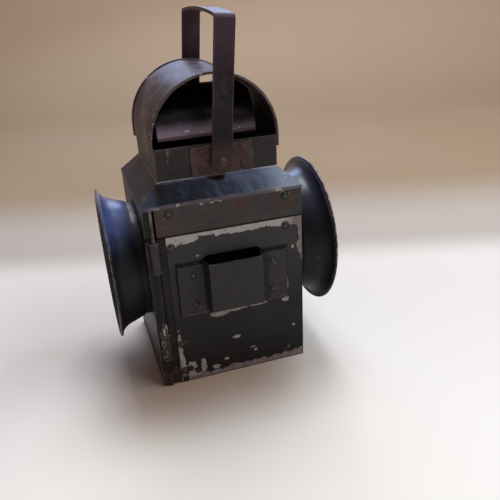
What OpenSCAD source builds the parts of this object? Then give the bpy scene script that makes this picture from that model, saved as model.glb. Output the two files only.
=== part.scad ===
// Railway signal lamp of folded sheet steel: a square case with a lens and a
// flared hood on each side, a bonnet roof with a barrel-shaped vent dome, a
// swinging strap handle, a lamp-iron socket on the front, and an oil burner
// inside. The left side is the access door.
// +X is right, +Y is back, +Z is up. The origin is the middle of the base.

/* [Case] */
// Width of the case between its two lens sides
body_w = 153.7; // [148:0.1:162]
// Depth of the case from front to back
body_d = 135; // [130:0.5:145]
// Height of the case walls, from the base to the eave
wall_h = 191.5; // [188:0.5:205]
// Thickness of the case sheet
sheet = 1.2; // [1:0.1:1.4]
// Height of the floor tray's upturned flange
tray_flange_h = 10; // [6:0.5:14]
// Depth of the back wall's jamb, which the door closes against
jamb_w = 9; // [6:0.5:12]
// Radius of an air hole in the back wall
air_hole_r = 3; // [2:0.25:4]
// Number of air holes
air_holes = 6; // [3:1:7]
// Distance between neighbouring air holes
air_pitch = 16; // [12:0.5:18]
// Height of the air holes above the base
air_z = 26; // [20:0.5:32]

/* [Roof and neck] */
// How far the eave stands out past the walls
eave_out = 0.5; // [0:0.1:1]
// Height of the upright skirt round the eave
skirt_h = 3; // [2:0.5:5]
// Rise of the roof from the eave to the foot of the neck
roof_rise = 18.3; // [14:0.1:24]
// Width of the neck
neck_w = 115.6; // [110:0.1:122]
// Depth of the neck
neck_d = 108.6; // [104:0.1:114]
// Height of the neck above the roof
neck_h = 29.3; // [28:0.1:36]
// Length of neck that is tucked inside the roof
neck_tuck = 4; // [2:0.5:8]

/* [Vent dome] */
// Height of the dome's axis above the top of the neck
dome_lift = 1.7; // [0.5:0.1:4]
// Depth of the dome's side skirts below its axis
dome_skirt = 11.8; // [8:0.1:16]
// Radius of the wired edge round each open end of the dome
dome_wire_r = 1.2; // [0.8:0.1:1.6]
// Distance of the inner cowl from the neck's front and back walls
cowl_side = 12.6; // [7:0.1:16]
// Distance of the inner cowl's ends from the neck's side walls
cowl_end = 10.1; // [4:0.1:14]
// Offset of the inner cowl to the right of the middle
cowl_x = -4; // [-5:0.1:5]
// Height of the inner cowl's axis above the dome's
cowl_lift = 2.5; // [0:0.1:6]
// Gap between the inner cowl's clipped ends and the dome
cowl_gap = 1.2; // [1:0.1:4]
// Depth of the cowl's skirts below its axis
cowl_skirt = 1; // [0.5:0.5:8]
// Width of each foot that holds the cowl
cowl_foot_w = 12; // [8:0.5:16]
// Clearance between each foot and the head of the handle's pivot pin
cowl_foot_gap = 1; // [0.5:0.1:3]
// Depth of the feet below the top of the neck
cowl_foot_drop = 8; // [6:0.5:10]
// Height of the tab that fixes each foot to the neck
cowl_tab_h = 6; // [4:0.5:8]

/* [Lenses and hoods] */
// Distance of the lens axis below the top of the walls
lens_drop = 73.5; // [68:0.5:80]
// Distance of the lens collar from the case's front and back
collar_in = 9.1; // [6:0.1:13]
// Length of the collar
collar_len = 11; // [9:0.5:13]
// Distance from the case to the root of the hood
hood_root = 6; // [4:0.5:7]
// Slope of the hood's cone
hood_angle = 20; // [15:0.5:25]
// Distance from the case to the end of the cone, where the flare begins
hood_cone_end = 22; // [18:0.5:26]
// Radius of the flare's curve
flare_r = 16.3; // [14:0.1:20]
// Distance that the door hood's rim stands out past its collar
door_rim_out = 16.6; // [14:0.1:18]
// Distance that the fixed hood's rim stands out past its collar
fixed_rim_out = 20.1; // [14:0.1:20.5]
// Radius of the wire rolled into each rim
rim_wire_r = 1.3; // [0.9:0.1:1.8]
// Thickness of the bezel ring round the lens
bezel_t = 2.7; // [2:0.1:4]
// Thickness of the lens at its edge
lens_edge = 5.4; // [4:0.1:6]
// Height of the lens's bulge past its edge
lens_bulge = 14; // [8:0.5:18]
// Distance that the retaining ring covers of the lens's edge
retainer_lap = 4; // [2.5:0.5:6]

/* [Front] */
// Thickness of the riveted front plate
plate_t = 1.2; // [1:0.1:2]
// Distance from the front wall's hinge edge to the plate
plate_in = 7.2; // [4:0.1:12]
// Thickness of the band under the eave
band_t = 1.6; // [1.2:0.1:2.4]
// Height of the band
band_h = 27.1; // [22:0.1:34]
// Open joint between the plate and the band
band_gap = 0.8; // [0.4:0.1:2]
// Radius of a rivet's shank
rivet_r = 1.6; // [1.2:0.1:2]
// Radius of a rivet's head
rivet_head_r = 3.2; // [2.6:0.1:4]
// Height of a rivet's head
rivet_head_h = 1.5; // [1:0.1:2.2]
// Distance of the left band rivet from the front wall's hinge edge
band_rivet_left = 12.4; // [8:0.1:20]
// Distance of the right-hand rivets of the band and plate from the right side
front_rivet_in = 17.5; // [8:0.1:24]
// Distance of the band rivets below the eave
band_rivet_drop = 5.6; // [5:0.1:12]
// Distance of the left plate rivets from the plate's left edge
plate_rivet_left = 4.2; // [4:0.1:10]
// Distance of the upper right plate rivet below the plate's top edge
plate_rivet_drop = 8.2; // [6:0.1:14]
// Height of the lower plate rivets above the floor tray's flange
plate_rivet_up = 4; // [3.5:0.5:10]

/* [Lamp iron socket] */
// Offset of the socket to the right of the middle
socket_x = 4; // [-4:0.5:6]
// Height of the foot of the socket's side flanges
socket_z = 78; // [70:0.5:90]
// Height of the side flanges
flange_h = 53.5; // [48:0.5:60]
// Width of each side flange
flange_w = 24.7; // [20:0.1:28]
// Width of the socket's raised face
socket_face_w = 53.2; // [46:0.1:58]
// Distance that the raised face stands out from the plate
socket_out = 14; // [10:0.5:18]
// Width that each slanted side of the socket takes up
socket_slant = 3.8; // [1:0.1:6]
// Height of the raised face's foot above the flanges' foot
face_lift = 5; // [0:0.5:8]
// Height of the raised face
face_h = 51; // [45:0.5:56]
// Thickness of the socket's metal
socket_t = 2; // [1.5:0.1:2.5]
// Distance of the socket rivets from its middle
socket_rivet_x = 40; // [37:0.5:46]
// Height of the socket's lower rivets above the flanges' foot
socket_rivet_low = 11.5; // [8:0.5:16]
// Distance of the socket's upper rivets below the flanges' top
socket_rivet_high = 10.5; // [8:0.5:16]
// Width of the window behind the socket
window_w = 66; // [58:0.5:68]
// Height of the window's top above the flanges' top
window_over = 7; // [4:0.5:10]
// Size of the window's clipped upper corners
window_clip = 7; // [3:0.5:9]
// Depth of the pan behind the window
pan_depth = 12; // [6:0.5:14]

/* [Hinge and door] */
// Distance of the hinge rod from the door's outer face
hinge_in = 7.45; // [7:0.05:9]
// Distance of the hinge rod behind the front of the plate
hinge_back = 1.5; // [1:0.1:2.5]
// Radius of the hinge rod
rod_r = 1.9; // [1.5:0.1:2.2]
// Radius of the two fixed knuckles
knuckle_r = 5.2; // [4.6:0.1:5.4]
// Height of the lower knuckle's foot
low_knuckle_z = 32.5; // [24:0.5:40]
// Length of the lower knuckle
low_knuckle_len = 27.5; // [20:0.5:34]
// Height of the upper knuckle's foot
high_knuckle_z = 129.5; // [120:0.5:136]
// Length of the upper knuckle
high_knuckle_len = 30; // [20:0.5:34]
// Reach of each knuckle's leaf behind the front wall
leaf_w = 22; // [20:0.5:26]
// Distance of the upper leaf's rivet below the knuckle's top
leaf_rivet_drop = 7; // [5:0.5:12]
// Radial clearance of everything that turns on a rod or pin
running_gap = 0.05; // [0.02:0.01:0.09]
// Clearance between the door and the case
door_gap = 0.3; // [0.2:0.05:0.6]
// Height of the door's foot above the base
door_foot = 0.6; // [0.3:0.1:1.5]
// Width of the door flange that laps the back wall
door_lap = 11; // [8:0.5:14]
// Height of the door catch above the base
catch_z = 96; // [80:1:120]
// Distance of the catch's pivot from the door's outer face
catch_in = 21; // [19:0.5:26]
// Length of the catch lever from its pivot
catch_len = 20; // [17:0.5:24]
// Width of the catch lever
catch_w = 10; // [8:0.5:12]
// Thickness of the catch lever
catch_t = 2.4; // [1.6:0.1:3]
// Radius of the catch's pivot pin
catch_pin_r = 2.4; // [2:0.1:3]

/* [Handle] */
// Height of the handle's pivots above the foot of the neck
pivot_up = 10.9; // [10.5:0.1:16]
// Offset of the handle's pivots to the right of the middle
pivot_x = 1.6; // [-4:0.1:6]
// Length of the handle from its pivots to its top
handle_len = 130; // [110:0.5:140]
// Rise of the handle's top from its bends to the middle
handle_crown = 3; // [1:0.5:8]
// Width of the handle strap
strap_w = 18.4; // [14:0.1:20]
// Thickness of the handle strap
strap_t = 2.8; // [1.8:0.1:3.2]
// Outer radius of the handle's two upper bends
bend_r = 5; // [4:0.5:16]
// Lean of the handle at rest, towards the right
lean = 5.4; // [0:0.1:12]
// Radius of the pivot pins
pivot_r = 3; // [2.4:0.1:4]
// Radius of the pivot pins' heads
pivot_head_r = 6; // [4.4:0.1:7]
// Height of the pivot pins' heads
pivot_head_h = 2.4; // [1.6:0.1:3.4]
// Bevel of the pivot pins' heads
pivot_head_bevel = 2.2; // [0.5:0.1:3]
// Radius of the spacer washers
spacer_r = 7; // [5:0.5:8.5]
// Thickness of the spacer washers
spacer_t = 3.6; // [2:0.1:6]
// Thickness of the handle plates on the neck
mount_t = 1.5; // [1:0.1:2]
// Width of the handle plates
mount_w = 58.4; // [50:0.2:64]
// Offset of the handle plates to the right of the middle
mount_x = 4.2; // [0:0.1:6]
// Height of the handle plates' foot above the foot of the neck
mount_up = 1.2; // [0.6:0.1:2]
// Distance of the handle plates' top below the top of the neck
mount_down = 1.6; // [0.6:0.1:3]
// Distance of the handle plates' rivets from the plates' ends
mount_rivet_in = 9.5; // [5:0.5:12]
// Distance of the handle plates' rivets from the plates' upper and lower edges
mount_rivet_edge = 5; // [4:0.5:8]

/* [Oil font and burner] */
// Radius of the oil font
font_r = 36; // [30:0.5:40]
// Height of the oil font's side
font_h = 42; // [34:0.5:44]
// Rise of the oil font's top
font_rise = 6; // [4:0.5:8]
// Wall of the oil font
font_t = 1; // [0.8:0.1:1.4]
// Radius of the roll round the font's top and foot
font_roll_r = 1.2; // [0.8:0.1:1.6]
// Radius of the filler neck
filler_r = 7; // [6:0.25:8]
// Distance between the filler cap and the burner's drum
filler_gap = 0.7; // [0.5:0.1:2]
// Height of the filler neck above the font's shoulder
filler_h = 11; // [10:0.5:13]
// Direction of the filler neck, turned from the right towards the back
filler_angle = 125; // [100:5:160]
// Wall of the filler cap
cap_t = 1.7; // [1.2:0.1:2.2]
// Height of the filler cap
cap_h = 6; // [5:0.5:7]
// Clearance between the filler cap and its neck
cap_gap = 0.3; // [0.2:0.05:0.5]
// Radius of the burner's drum
drum_r = 14; // [13:0.5:15]
// Height of the burner's drum
drum_h = 18; // [16:0.5:22]
// Width of the seat between the burner and the font
burner_seat = 4; // [2:0.5:5]
// Height of the burner's cone above its drum
cone_h = 8; // [6:0.5:12]
// Width of the cone's rim round the wick's ends
cone_rim = 3; // [2:0.25:4]
// Wall of the wick tube
tube_t = 1; // [0.6:0.1:1.4]
// Width of the wick
wick_w = 12; // [8:0.5:14]
// Thickness of the wick
wick_t = 2.4; // [1.6:0.1:3]
// Distance of the wick's tip below the lens axis
flame_drop = 14; // [10:0.5:20]
// Length of wick that shows above its tube
wick_show = 1.6; // [1:0.1:3]
// Height of the wick's lower end above the font's floor
wick_clear = 8; // [6:0.5:14]
// Clearance round the wick
wick_gap = 0.3; // [0.2:0.05:0.4]
// Radius of the wick winder's spindle
spindle_r = 1.5; // [1.2:0.1:2]
// Radius of the wick winder's wheels
wheel_r = 3.6; // [3:0.1:4]
// Thickness of the wick winder's wheels
wheel_t = 1.6; // [1:0.1:2.4]
// Radius of the winder's knob
knob_r = 8; // [6:0.5:9]
// Distance of the knob's outer face from the wick
knob_out = 34; // [28:0.5:36]
// Thickness of the knob
knob_t = 5; // [4:0.5:6]
// Length of the knob's hub past its face
hub_h = 2; // [1:0.5:3]
// Height of the rails that guide the font
rail_h = 8; // [5:0.5:10]
// Clearance between the font and its rails
rail_gap = 0.6; // [0.3:0.1:1]
// Length of each rail
rail_len = 96; // [80:1:104]
// Distance that the rails are set towards the door
rail_lead = 6; // [2:0.5:8]
// Width of the foot flange of each rail
rail_foot_w = 9; // [7:0.5:10]

/* [Hidden] */
$fn = 64;

// A cut reaches this far past the face it opens.
cut = 1;
// Contact faces on different bodies stay this far apart.
face_gap = 0.1;
// Edges that pass each other at the hinge stay this far apart.
edge_gap = 0.5;
// A rivet's closing head, as shares of its set head.
tail_r_share = 0.8;
tail_h_share = 0.7;
// Radius of the grip ridges on the cap and the knob.
ridge_r = 0.8;

half_w = body_w / 2;
half_d = body_d / 2;
front_y = -half_d;
front_wall_y = front_y + plate_t;
front_inner_y = front_wall_y + sheet;
back_inner_y = half_d - sheet;
door_inner_x = -half_w + sheet;
jamb_x = door_inner_x + door_gap;
catch_x = -half_w + catch_in;
lap_y = half_d + door_gap;
lever_y = lap_y + sheet + door_gap;

eave_z = wall_h + skirt_h;
neck_z = eave_z + roof_rise;
neck_top = neck_z + neck_h;
dome_z = neck_top + dome_lift;
dome_r = neck_w / 2 + sheet;
cowl_r = neck_d / 2 - sheet - cowl_side;
cowl_len = neck_w - 2 * (sheet + cowl_end);

hinge_x = -half_w + hinge_in;
hinge_y = front_y + hinge_back;
curl_r = rod_r + running_gap + sheet;
wall_left = hinge_x + curl_r + edge_gap;
notch_right = hinge_x + knuckle_r + edge_gap;
plate_left = wall_left + plate_in;
low_knuckle_top = low_knuckle_z + low_knuckle_len;
high_knuckle_top = high_knuckle_z + high_knuckle_len;
KNUCKLES = [[low_knuckle_z, low_knuckle_top], [high_knuckle_z, high_knuckle_top]];

flange_top = socket_z + flange_h;
window_z = flange_top + window_over;
face_z = socket_z + face_lift;

band_z = wall_h - band_h;
plate_h = band_z - band_gap;
band_rivet_z = wall_h - band_rivet_drop;
front_rivet_right = half_w - front_rivet_in;
BAND_RIVETS = [
    [wall_left + band_rivet_left, band_rivet_z],
    [front_rivet_right, band_rivet_z]
];
front_rivet_left = plate_left + plate_rivet_left;
plate_rivet_foot = tray_flange_h + plate_rivet_up;
PLATE_RIVETS = [
    [front_rivet_left, plate_rivet_foot],
    [front_rivet_right, plate_rivet_foot],
    [front_rivet_right, plate_h - plate_rivet_drop]
];
LEAF_RIVETS = [
    [front_rivet_left, low_knuckle_z + low_knuckle_len / 2],
    [front_rivet_left, high_knuckle_top - leaf_rivet_drop]
];
SOCKET_RIVETS = [
    for (x = [socket_x - socket_rivet_x, socket_x + socket_rivet_x],
         z = [socket_z + socket_rivet_low, flange_top - socket_rivet_high]) [x, z]
];

pivot_z = neck_z + pivot_up;
mount_face = neck_d / 2 + mount_t;
mount_z = neck_z + mount_up;
mount_h = neck_h - mount_up - mount_down;
leg_inner = mount_face + spacer_t + face_gap;
leg_outer = leg_inner + strap_t;
crown_r = bend_r + (pow(leg_outer - bend_r, 2) + pow(handle_crown, 2)) / (2 * handle_crown);
MOUNT_RIVETS = [
    for (sx = [-1, 1], z = [mount_rivet_edge, mount_h - mount_rivet_edge])
        [mount_x + sx * (mount_w / 2 - mount_rivet_in), mount_z + z]
];

lens_z = wall_h - lens_drop;
collar_r = half_d - collar_in;
collar_bore = collar_r - sheet;
bezel_r = collar_bore - face_gap;
lens_r = bezel_r - bezel_t;
lens_foot = 0.4;
lens_shoulder = lens_foot + lens_edge;
lens_lip = 1.6;
lens_lip_gap = 0.2;

font_z = sheet;
font_shoulder = font_z + font_h;
font_top = font_shoulder + font_rise;
drum_top = font_top + drum_h;
wick_top = lens_z - flame_drop;
tube_top = wick_top - wick_show;
cap_r = filler_r + cap_gap + cap_t;
filler_out = drum_r + filler_gap + ridge_r + cap_r;
spindle_x = -(wick_t / 2 + wick_gap + wheel_r);
spindle_z = font_top + drum_h / 2;

// ---------------------------------------------------------------- helpers

// Stands a flat (x, z) outline up as a sheet whose front face is at y.
module upright(y, t) {
    translate([0, y + t, 0]) rotate([90, 0, 0]) linear_extrude(t) children();
}

// A bar of square section between two corners.
module block(a, b) {
    translate(a) cube(b - a);
}

// A ring round +Z.
module ring(r_out, r_in, z0, z1) {
    difference() {
        translate([0, 0, z0]) cylinder(r = r_out, h = z1 - z0);
        translate([0, 0, z0 - cut]) cylinder(r = r_in, h = z1 - z0 + 2 * cut);
    }
}

// A domed rivet whose head sits on the plane z = 0 and whose shank goes
// down through grip to a flat closing head.
module rivet(grip, r = rivet_r, head_r = rivet_head_r, head_h = rivet_head_h) {
    head_sphere = (head_r * head_r + head_h * head_h) / (2 * head_h);
    intersection() {
        translate([0, 0, head_h - head_sphere]) sphere(r = head_sphere);
        cylinder(r = head_r, h = head_h);
    }
    translate([0, 0, -grip]) cylinder(r = r, h = grip);
    translate([0, 0, -grip - head_h * tail_h_share])
        cylinder(r = head_r * tail_r_share, h = head_h * tail_h_share);
}

// Rivets at (x, z) points through a front sheet whose face is at y.
module front_rivets_at(points, y, grip) {
    for (p = points) translate([p[0], y, p[1]]) rotate([90, 0, 0]) rivet(grip);
}

// The flat outline of the holes for rivets at (x, z) points.
module rivet_holes(points, r = rivet_r) {
    for (p = points) translate(p) circle(r = r + running_gap);
}

// A solid whose flat top and bottom are rectangles round the Z axis.
module tapered(w0, d0, z0, w1, d1, z1) {
    polyhedron(
        points = [
            for (s = [[w0 / 2, d0 / 2, z0], [w1 / 2, d1 / 2, z1]], k = [[-1, -1], [1, -1], [1, 1], [-1, 1]])
                [k[0] * s[0], k[1] * s[1], s[2]]
        ],
        faces = [[0, 1, 2, 3], [7, 6, 5, 4], [0, 4, 5, 1], [1, 5, 6, 2], [2, 6, 7, 3], [3, 7, 4, 0]]
    );
}

// Places children, built outwards along +Z, on a lens side of the case:
// side is -1 for the door and 1 for the fixed side.
module on_side(side) {
    translate([side * half_w, 0, lens_z]) rotate([0, side * 90, 0]) children();
}

// Places children, built round +Z, at the hinge rod.
module on_hinge() {
    translate([hinge_x, hinge_y, 0]) children();
}

// ------------------------------------------------------------------- case

// The tray's front left corner is cut round for the door's curled edge.
module floor_tray() {
    color("dimgray") difference() {
        block([jamb_x, front_inner_y, 0], [half_w - sheet, back_inner_y, tray_flange_h]);
        block([jamb_x + sheet, front_inner_y + sheet, sheet],
              [half_w - 2 * sheet, back_inner_y - sheet, tray_flange_h + cut]);
        on_hinge() translate([0, 0, -cut]) cylinder(r = curl_r + edge_gap, h = tray_flange_h + 2 * cut);
    }
}

// The window's outline: clipped upper corners, straight foot.
module window_outline() {
    left = socket_x - window_w / 2;
    right = socket_x + window_w / 2;
    polygon([
        [left, face_z], [right, face_z], [right, window_z - window_clip],
        [right - window_clip, window_z], [left + window_clip, window_z],
        [left, window_z - window_clip]
    ]);
}

module front_wall() {
    color("darkslategray") upright(front_wall_y, sheet) difference() {
        translate([wall_left, 0]) square([half_w - wall_left, wall_h]);
        for (k = KNUCKLES)
            translate([wall_left - cut, k[0] - edge_gap])
                square([notch_right - wall_left + cut, k[1] - k[0] + 2 * edge_gap]);
        window_outline();
        rivet_holes(concat(BAND_RIVETS, PLATE_RIVETS, LEAF_RIVETS, SOCKET_RIVETS));
    }
}

module back_wall() {
    color("darkslategray") {
        difference() {
            block([jamb_x, back_inner_y, 0], [half_w, half_d, wall_h]);
            for (i = [0 : air_holes - 1])
                translate([(i - (air_holes - 1) / 2) * air_pitch, half_d + cut, air_z])
                    rotate([90, 0, 0]) cylinder(r = air_hole_r, h = sheet + 2 * cut);
            translate([catch_x, half_d + cut, catch_z]) rotate([90, 0, 0])
                cylinder(r = catch_pin_r + running_gap, h = sheet + 2 * cut);
        }
        block([jamb_x, back_inner_y - jamb_w, tray_flange_h + door_gap],
              [jamb_x + sheet, back_inner_y, wall_h]);
    }
}

module right_wall() {
    color("darkslategray") difference() {
        block([half_w - sheet, front_inner_y, 0], [half_w, back_inner_y, wall_h]);
        on_side(1) translate([0, 0, -sheet - cut]) cylinder(r = collar_bore, h = sheet + 2 * cut);
    }
}

module front_plate() {
    color("slategray") upright(front_y, plate_t) difference() {
        translate([plate_left, 0]) square([half_w - plate_left, plate_h]);
        window_outline();
        rivet_holes(concat(PLATE_RIVETS, LEAF_RIVETS, SOCKET_RIVETS));
    }
}

module top_band() {
    color("slategray") upright(front_wall_y - band_t, band_t) difference() {
        translate([wall_left, band_z]) square([half_w - wall_left, band_h]);
        rivet_holes(BAND_RIVETS);
    }
}

// ------------------------------------------------------- lamp iron socket

module lamp_iron_socket() {
    face_half = socket_face_w / 2;
    foot_half = face_half + socket_slant;
    color("dimgray") translate([socket_x, 0, 0]) {
        for (s = [-1, 1])
            upright(front_y - socket_t, socket_t) difference() {
                translate([s > 0 ? foot_half - socket_t : -foot_half - flange_w, socket_z])
                    square([flange_w + socket_t, flange_h]);
                for (p = SOCKET_RIVETS)
                    translate([p[0] - socket_x, p[1]]) circle(r = rivet_r + running_gap);
            }
        translate([0, front_y, face_z]) linear_extrude(face_h) polygon([
            [-foot_half, 0], [-face_half, -socket_out], [face_half, -socket_out], [foot_half, 0],
            [foot_half - socket_t, 0], [face_half - socket_t, socket_t - socket_out],
            [socket_t - face_half, socket_t - socket_out], [socket_t - foot_half, 0]
        ]);
    }
}

module socket_pan() {
    margin = 2;
    a = [socket_x - window_w / 2 - margin, front_inner_y, face_z - margin];
    b = [socket_x + window_w / 2 + margin, front_inner_y + pan_depth, window_z + margin];
    color("black") difference() {
        block(a, b);
        block([a[0] + sheet, a[1] - cut, a[2] + sheet], [b[0] - sheet, b[1] - sheet, b[2] - sheet]);
    }
}

module front_rivets() {
    color("gray") {
        front_rivets_at(BAND_RIVETS, front_wall_y - band_t, band_t + sheet);
        front_rivets_at(PLATE_RIVETS, front_y, plate_t + sheet);
        front_rivets_at(LEAF_RIVETS, front_y, plate_t + 2 * sheet);
    }
}

module socket_rivets() {
    color("gray") front_rivets_at(SOCKET_RIVETS, front_y - socket_t, socket_t + plate_t + sheet);
}

// ---------------------------------------------------------- hinge and door

module hinge_knuckles() {
    color("saddlebrown") difference() {
        for (k = KNUCKLES) {
            on_hinge() translate([0, 0, k[0]]) cylinder(r = knuckle_r, h = k[1] - k[0]);
            block([hinge_x, front_inner_y, k[0]], [hinge_x + leaf_w, front_inner_y + sheet, k[1]]);
        }
        rod_bore();
        upright(front_inner_y - cut, sheet + 2 * cut) rivet_holes(LEAF_RIVETS);
    }
}

// What the hinge rod takes out of the pieces round it.
module rod_bore() {
    on_hinge() translate([0, 0, -cut]) cylinder(r = rod_r + running_gap, h = wall_h + 2 * cut);
}

module hinge_rod() {
    color("gray") on_hinge() translate([0, 0, door_foot]) cylinder(r = rod_r, h = wall_h - door_foot);
}

// The door's front edge is curled round the rod below and between the fixed
// knuckles. Above them the rod is bare and the edge stops beside it.
module door_panel() {
    top = wall_h - door_gap;
    flange_x = hinge_x - rod_r - running_gap - edge_gap;
    CURLS = [[door_foot, low_knuckle_z - door_gap], [low_knuckle_top + door_gap, high_knuckle_z - door_gap]];
    color("darkslategray") difference() {
        union() {
            block([-half_w, front_y, door_foot], [door_inner_x, lap_y + sheet, top]);
            block([-half_w, front_y, door_foot], [flange_x, front_y + sheet, top]);
            block([-half_w, lap_y, door_foot], [-half_w + door_lap, lap_y + sheet, top]);
            for (c = CURLS) {
                on_hinge() translate([0, 0, c[0]]) cylinder(r = curl_r, h = c[1] - c[0]);
                block([-half_w, front_y, c[0]], [hinge_x, front_y + sheet, c[1]]);
            }
        }
        rod_bore();
        on_hinge() for (k = KNUCKLES)
            translate([0, 0, k[0] - door_gap])
                cylinder(r = knuckle_r + door_gap, h = k[1] - k[0] + 2 * door_gap);
        on_side(-1) translate([0, 0, -sheet - cut]) cylinder(r = collar_bore, h = sheet + 2 * cut);
    }
}

// The pin's boss holds the lever off the back wall, so that it swings over
// the door's lap.
module catch_pivot() {
    inner = back_inner_y - sheet;
    boss_top = lever_y - face_gap;
    pin_top = lever_y + catch_t + face_gap;
    head_r = catch_w / 2 - edge_gap;
    head_h = 1.4;
    color("gray") translate([catch_x, 0, catch_z]) rotate([-90, 0, 0]) {
        translate([0, 0, half_d]) cylinder(r = catch_w / 2, h = boss_top - half_d);
        translate([0, 0, inner]) cylinder(r = catch_pin_r, h = pin_top - inner);
        translate([0, 0, inner]) cylinder(r = catch_w / 2, h = sheet);
        translate([0, 0, pin_top]) cylinder(r1 = head_r, r2 = head_r - 1, h = head_h);
    }
}

module catch_lever() {
    color("dimgray") translate([catch_x, 0, catch_z]) upright(lever_y, catch_t) difference() {
        union() {
            circle(r = catch_w / 2);
            translate([-catch_w / 2, catch_w / 2 - catch_len]) square([catch_w, catch_len - catch_w / 2]);
            translate([0, catch_w / 2 - catch_len]) circle(r = catch_w / 2);
        }
        circle(r = catch_pin_r + running_gap);
    }
}

// -------------------------------------------------------- lenses and hoods

module collar(side) {
    color("dimgray") on_side(side) ring(collar_r, collar_bore, 0, collar_len);
}

// The hood's section: a sloping cone, then a flare that curls out to the rim.
module hood(side, rim_out) {
    rim_r = collar_r + rim_out;
    slope = tan(hood_angle);
    wall = sheet / cos(hood_angle);
    root_r = collar_r + wall;
    cone_end_r = root_r + (hood_cone_end - hood_root) * slope;
    centre = [cone_end_r + flare_r * cos(hood_angle), hood_cone_end - flare_r * sin(hood_angle)];
    rim_angle = acos((centre[0] - rim_r) / flare_r);
    steps = 10;
    angles = [for (i = [0 : steps]) hood_angle + (rim_angle - hood_angle) * i / steps];
    outer = [for (a = angles) centre + flare_r * [-cos(a), sin(a)]];
    inner = [for (i = [steps : -1 : 0]) centre + (flare_r + sheet) * [-cos(angles[i]), sin(angles[i])]];
    wire = centre + (flare_r + sheet / 2) * [-cos(rim_angle), sin(rim_angle)];
    color("midnightblue") on_side(side) {
        rotate_extrude() polygon(concat([[collar_r, hood_root], [root_r, hood_root]], outer, inner));
        rotate_extrude() translate(wire) circle(r = rim_wire_r, $fn = 32);
    }
}

module lens(side) {
    face_r = lens_r - lens_lip - lens_lip_gap;
    sphere_r = (face_r * face_r + lens_bulge * lens_bulge) / (2 * lens_bulge);
    color("lightcyan") on_side(side) {
        translate([0, 0, lens_foot]) cylinder(r = lens_r, h = lens_edge);
        intersection() {
            translate([0, 0, lens_shoulder + lens_bulge - sphere_r]) sphere(r = sphere_r);
            translate([0, 0, lens_shoulder]) cylinder(r = face_r, h = lens_bulge + cut);
        }
    }
}

module lens_bezel(side) {
    color("goldenrod") on_side(side) {
        ring(bezel_r, lens_r + face_gap, lens_foot, lens_shoulder);
        ring(bezel_r, lens_r - lens_lip, lens_shoulder, lens_shoulder + sheet);
    }
}

module lens_retainer(side) {
    color("goldenrod") on_side(side) ring(bezel_r, lens_r - retainer_lap, -sheet, lens_foot);
}

// ------------------------------------------------------- roof, neck, dome

module roof() {
    w = body_w + 2 * eave_out;
    d = body_d + 2 * eave_out;
    inner_w = w - 2 * sheet;
    inner_d = d - 2 * sheet;
    slope = atan2(roof_rise, (w - neck_w) / 2);
    drop = sheet / cos(slope);
    inner_eave = eave_z - drop + sheet * tan(slope);
    color("darkslateblue") difference() {
        union() {
            block([-w / 2, -d / 2, wall_h], [w / 2, d / 2, eave_z]);
            tapered(w, d, eave_z, neck_w, neck_d, neck_z);
        }
        block([-inner_w / 2, -inner_d / 2, wall_h - cut], [inner_w / 2, inner_d / 2, inner_eave]);
        tapered(inner_w, inner_d, inner_eave, neck_w, neck_d, neck_z - drop);
        block([-neck_w / 2, -neck_d / 2, wall_h], [neck_w / 2, neck_d / 2, neck_z + cut]);
    }
}

module neck() {
    foot = neck_z - neck_tuck;
    color("dimgray") difference() {
        block([-neck_w / 2, -neck_d / 2, foot], [neck_w / 2, neck_d / 2, neck_top]);
        block([sheet - neck_w / 2, sheet - neck_d / 2, foot - cut],
              [neck_w / 2 - sheet, neck_d / 2 - sheet, neck_top + cut]);
        for (s = [-1, 1], p = MOUNT_RIVETS)
            translate([p[0], s * (neck_d - sheet) / 2, p[1]]) rotate([90, 0, 0])
                cylinder(r = rivet_r + running_gap, h = sheet + 2 * cut, center = true);
        translate([pivot_x, 0, pivot_z]) rotate([90, 0, 0])
            cylinder(r = pivot_r + running_gap, h = neck_d + 2 * cut, center = true);
    }
}

// The outline of an arch that stands on straight skirts.
module arch_outline(r, skirt) {
    intersection() {
        union() {
            circle(r = r, $fn = 128);
            translate([-r, -skirt]) square([2 * r, skirt]);
        }
        translate([-r, -skirt]) square([2 * r, r + skirt]);
    }
}

module arch_shell(r, skirt, t, length) {
    rotate([90, 0, 0]) translate([0, 0, -length / 2]) linear_extrude(length) difference() {
        arch_outline(r, skirt);
        translate([0, -cut]) arch_outline(r - t, skirt);
        arch_outline(r - t, skirt);
    }
}

// The wire is rolled into the outside of each end, clear of the neck.
module vent_dome() {
    wire_mid = dome_r - sheet + face_gap + dome_wire_r;
    color("rosybrown") translate([0, 0, dome_z]) {
        arch_shell(dome_r, dome_skirt, sheet, neck_d);
        for (s = [-1, 1]) translate([0, s * neck_d / 2, 0]) {
            rotate([90, 0, 0]) rotate_extrude(angle = 180) translate([wire_mid, 0]) circle(r = dome_wire_r, $fn = 24);
            for (k = [-1, 1])
                translate([k * wire_mid, 0, -dome_skirt]) cylinder(r = dome_wire_r, h = dome_skirt, $fn = 24);
        }
    }
}

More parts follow.
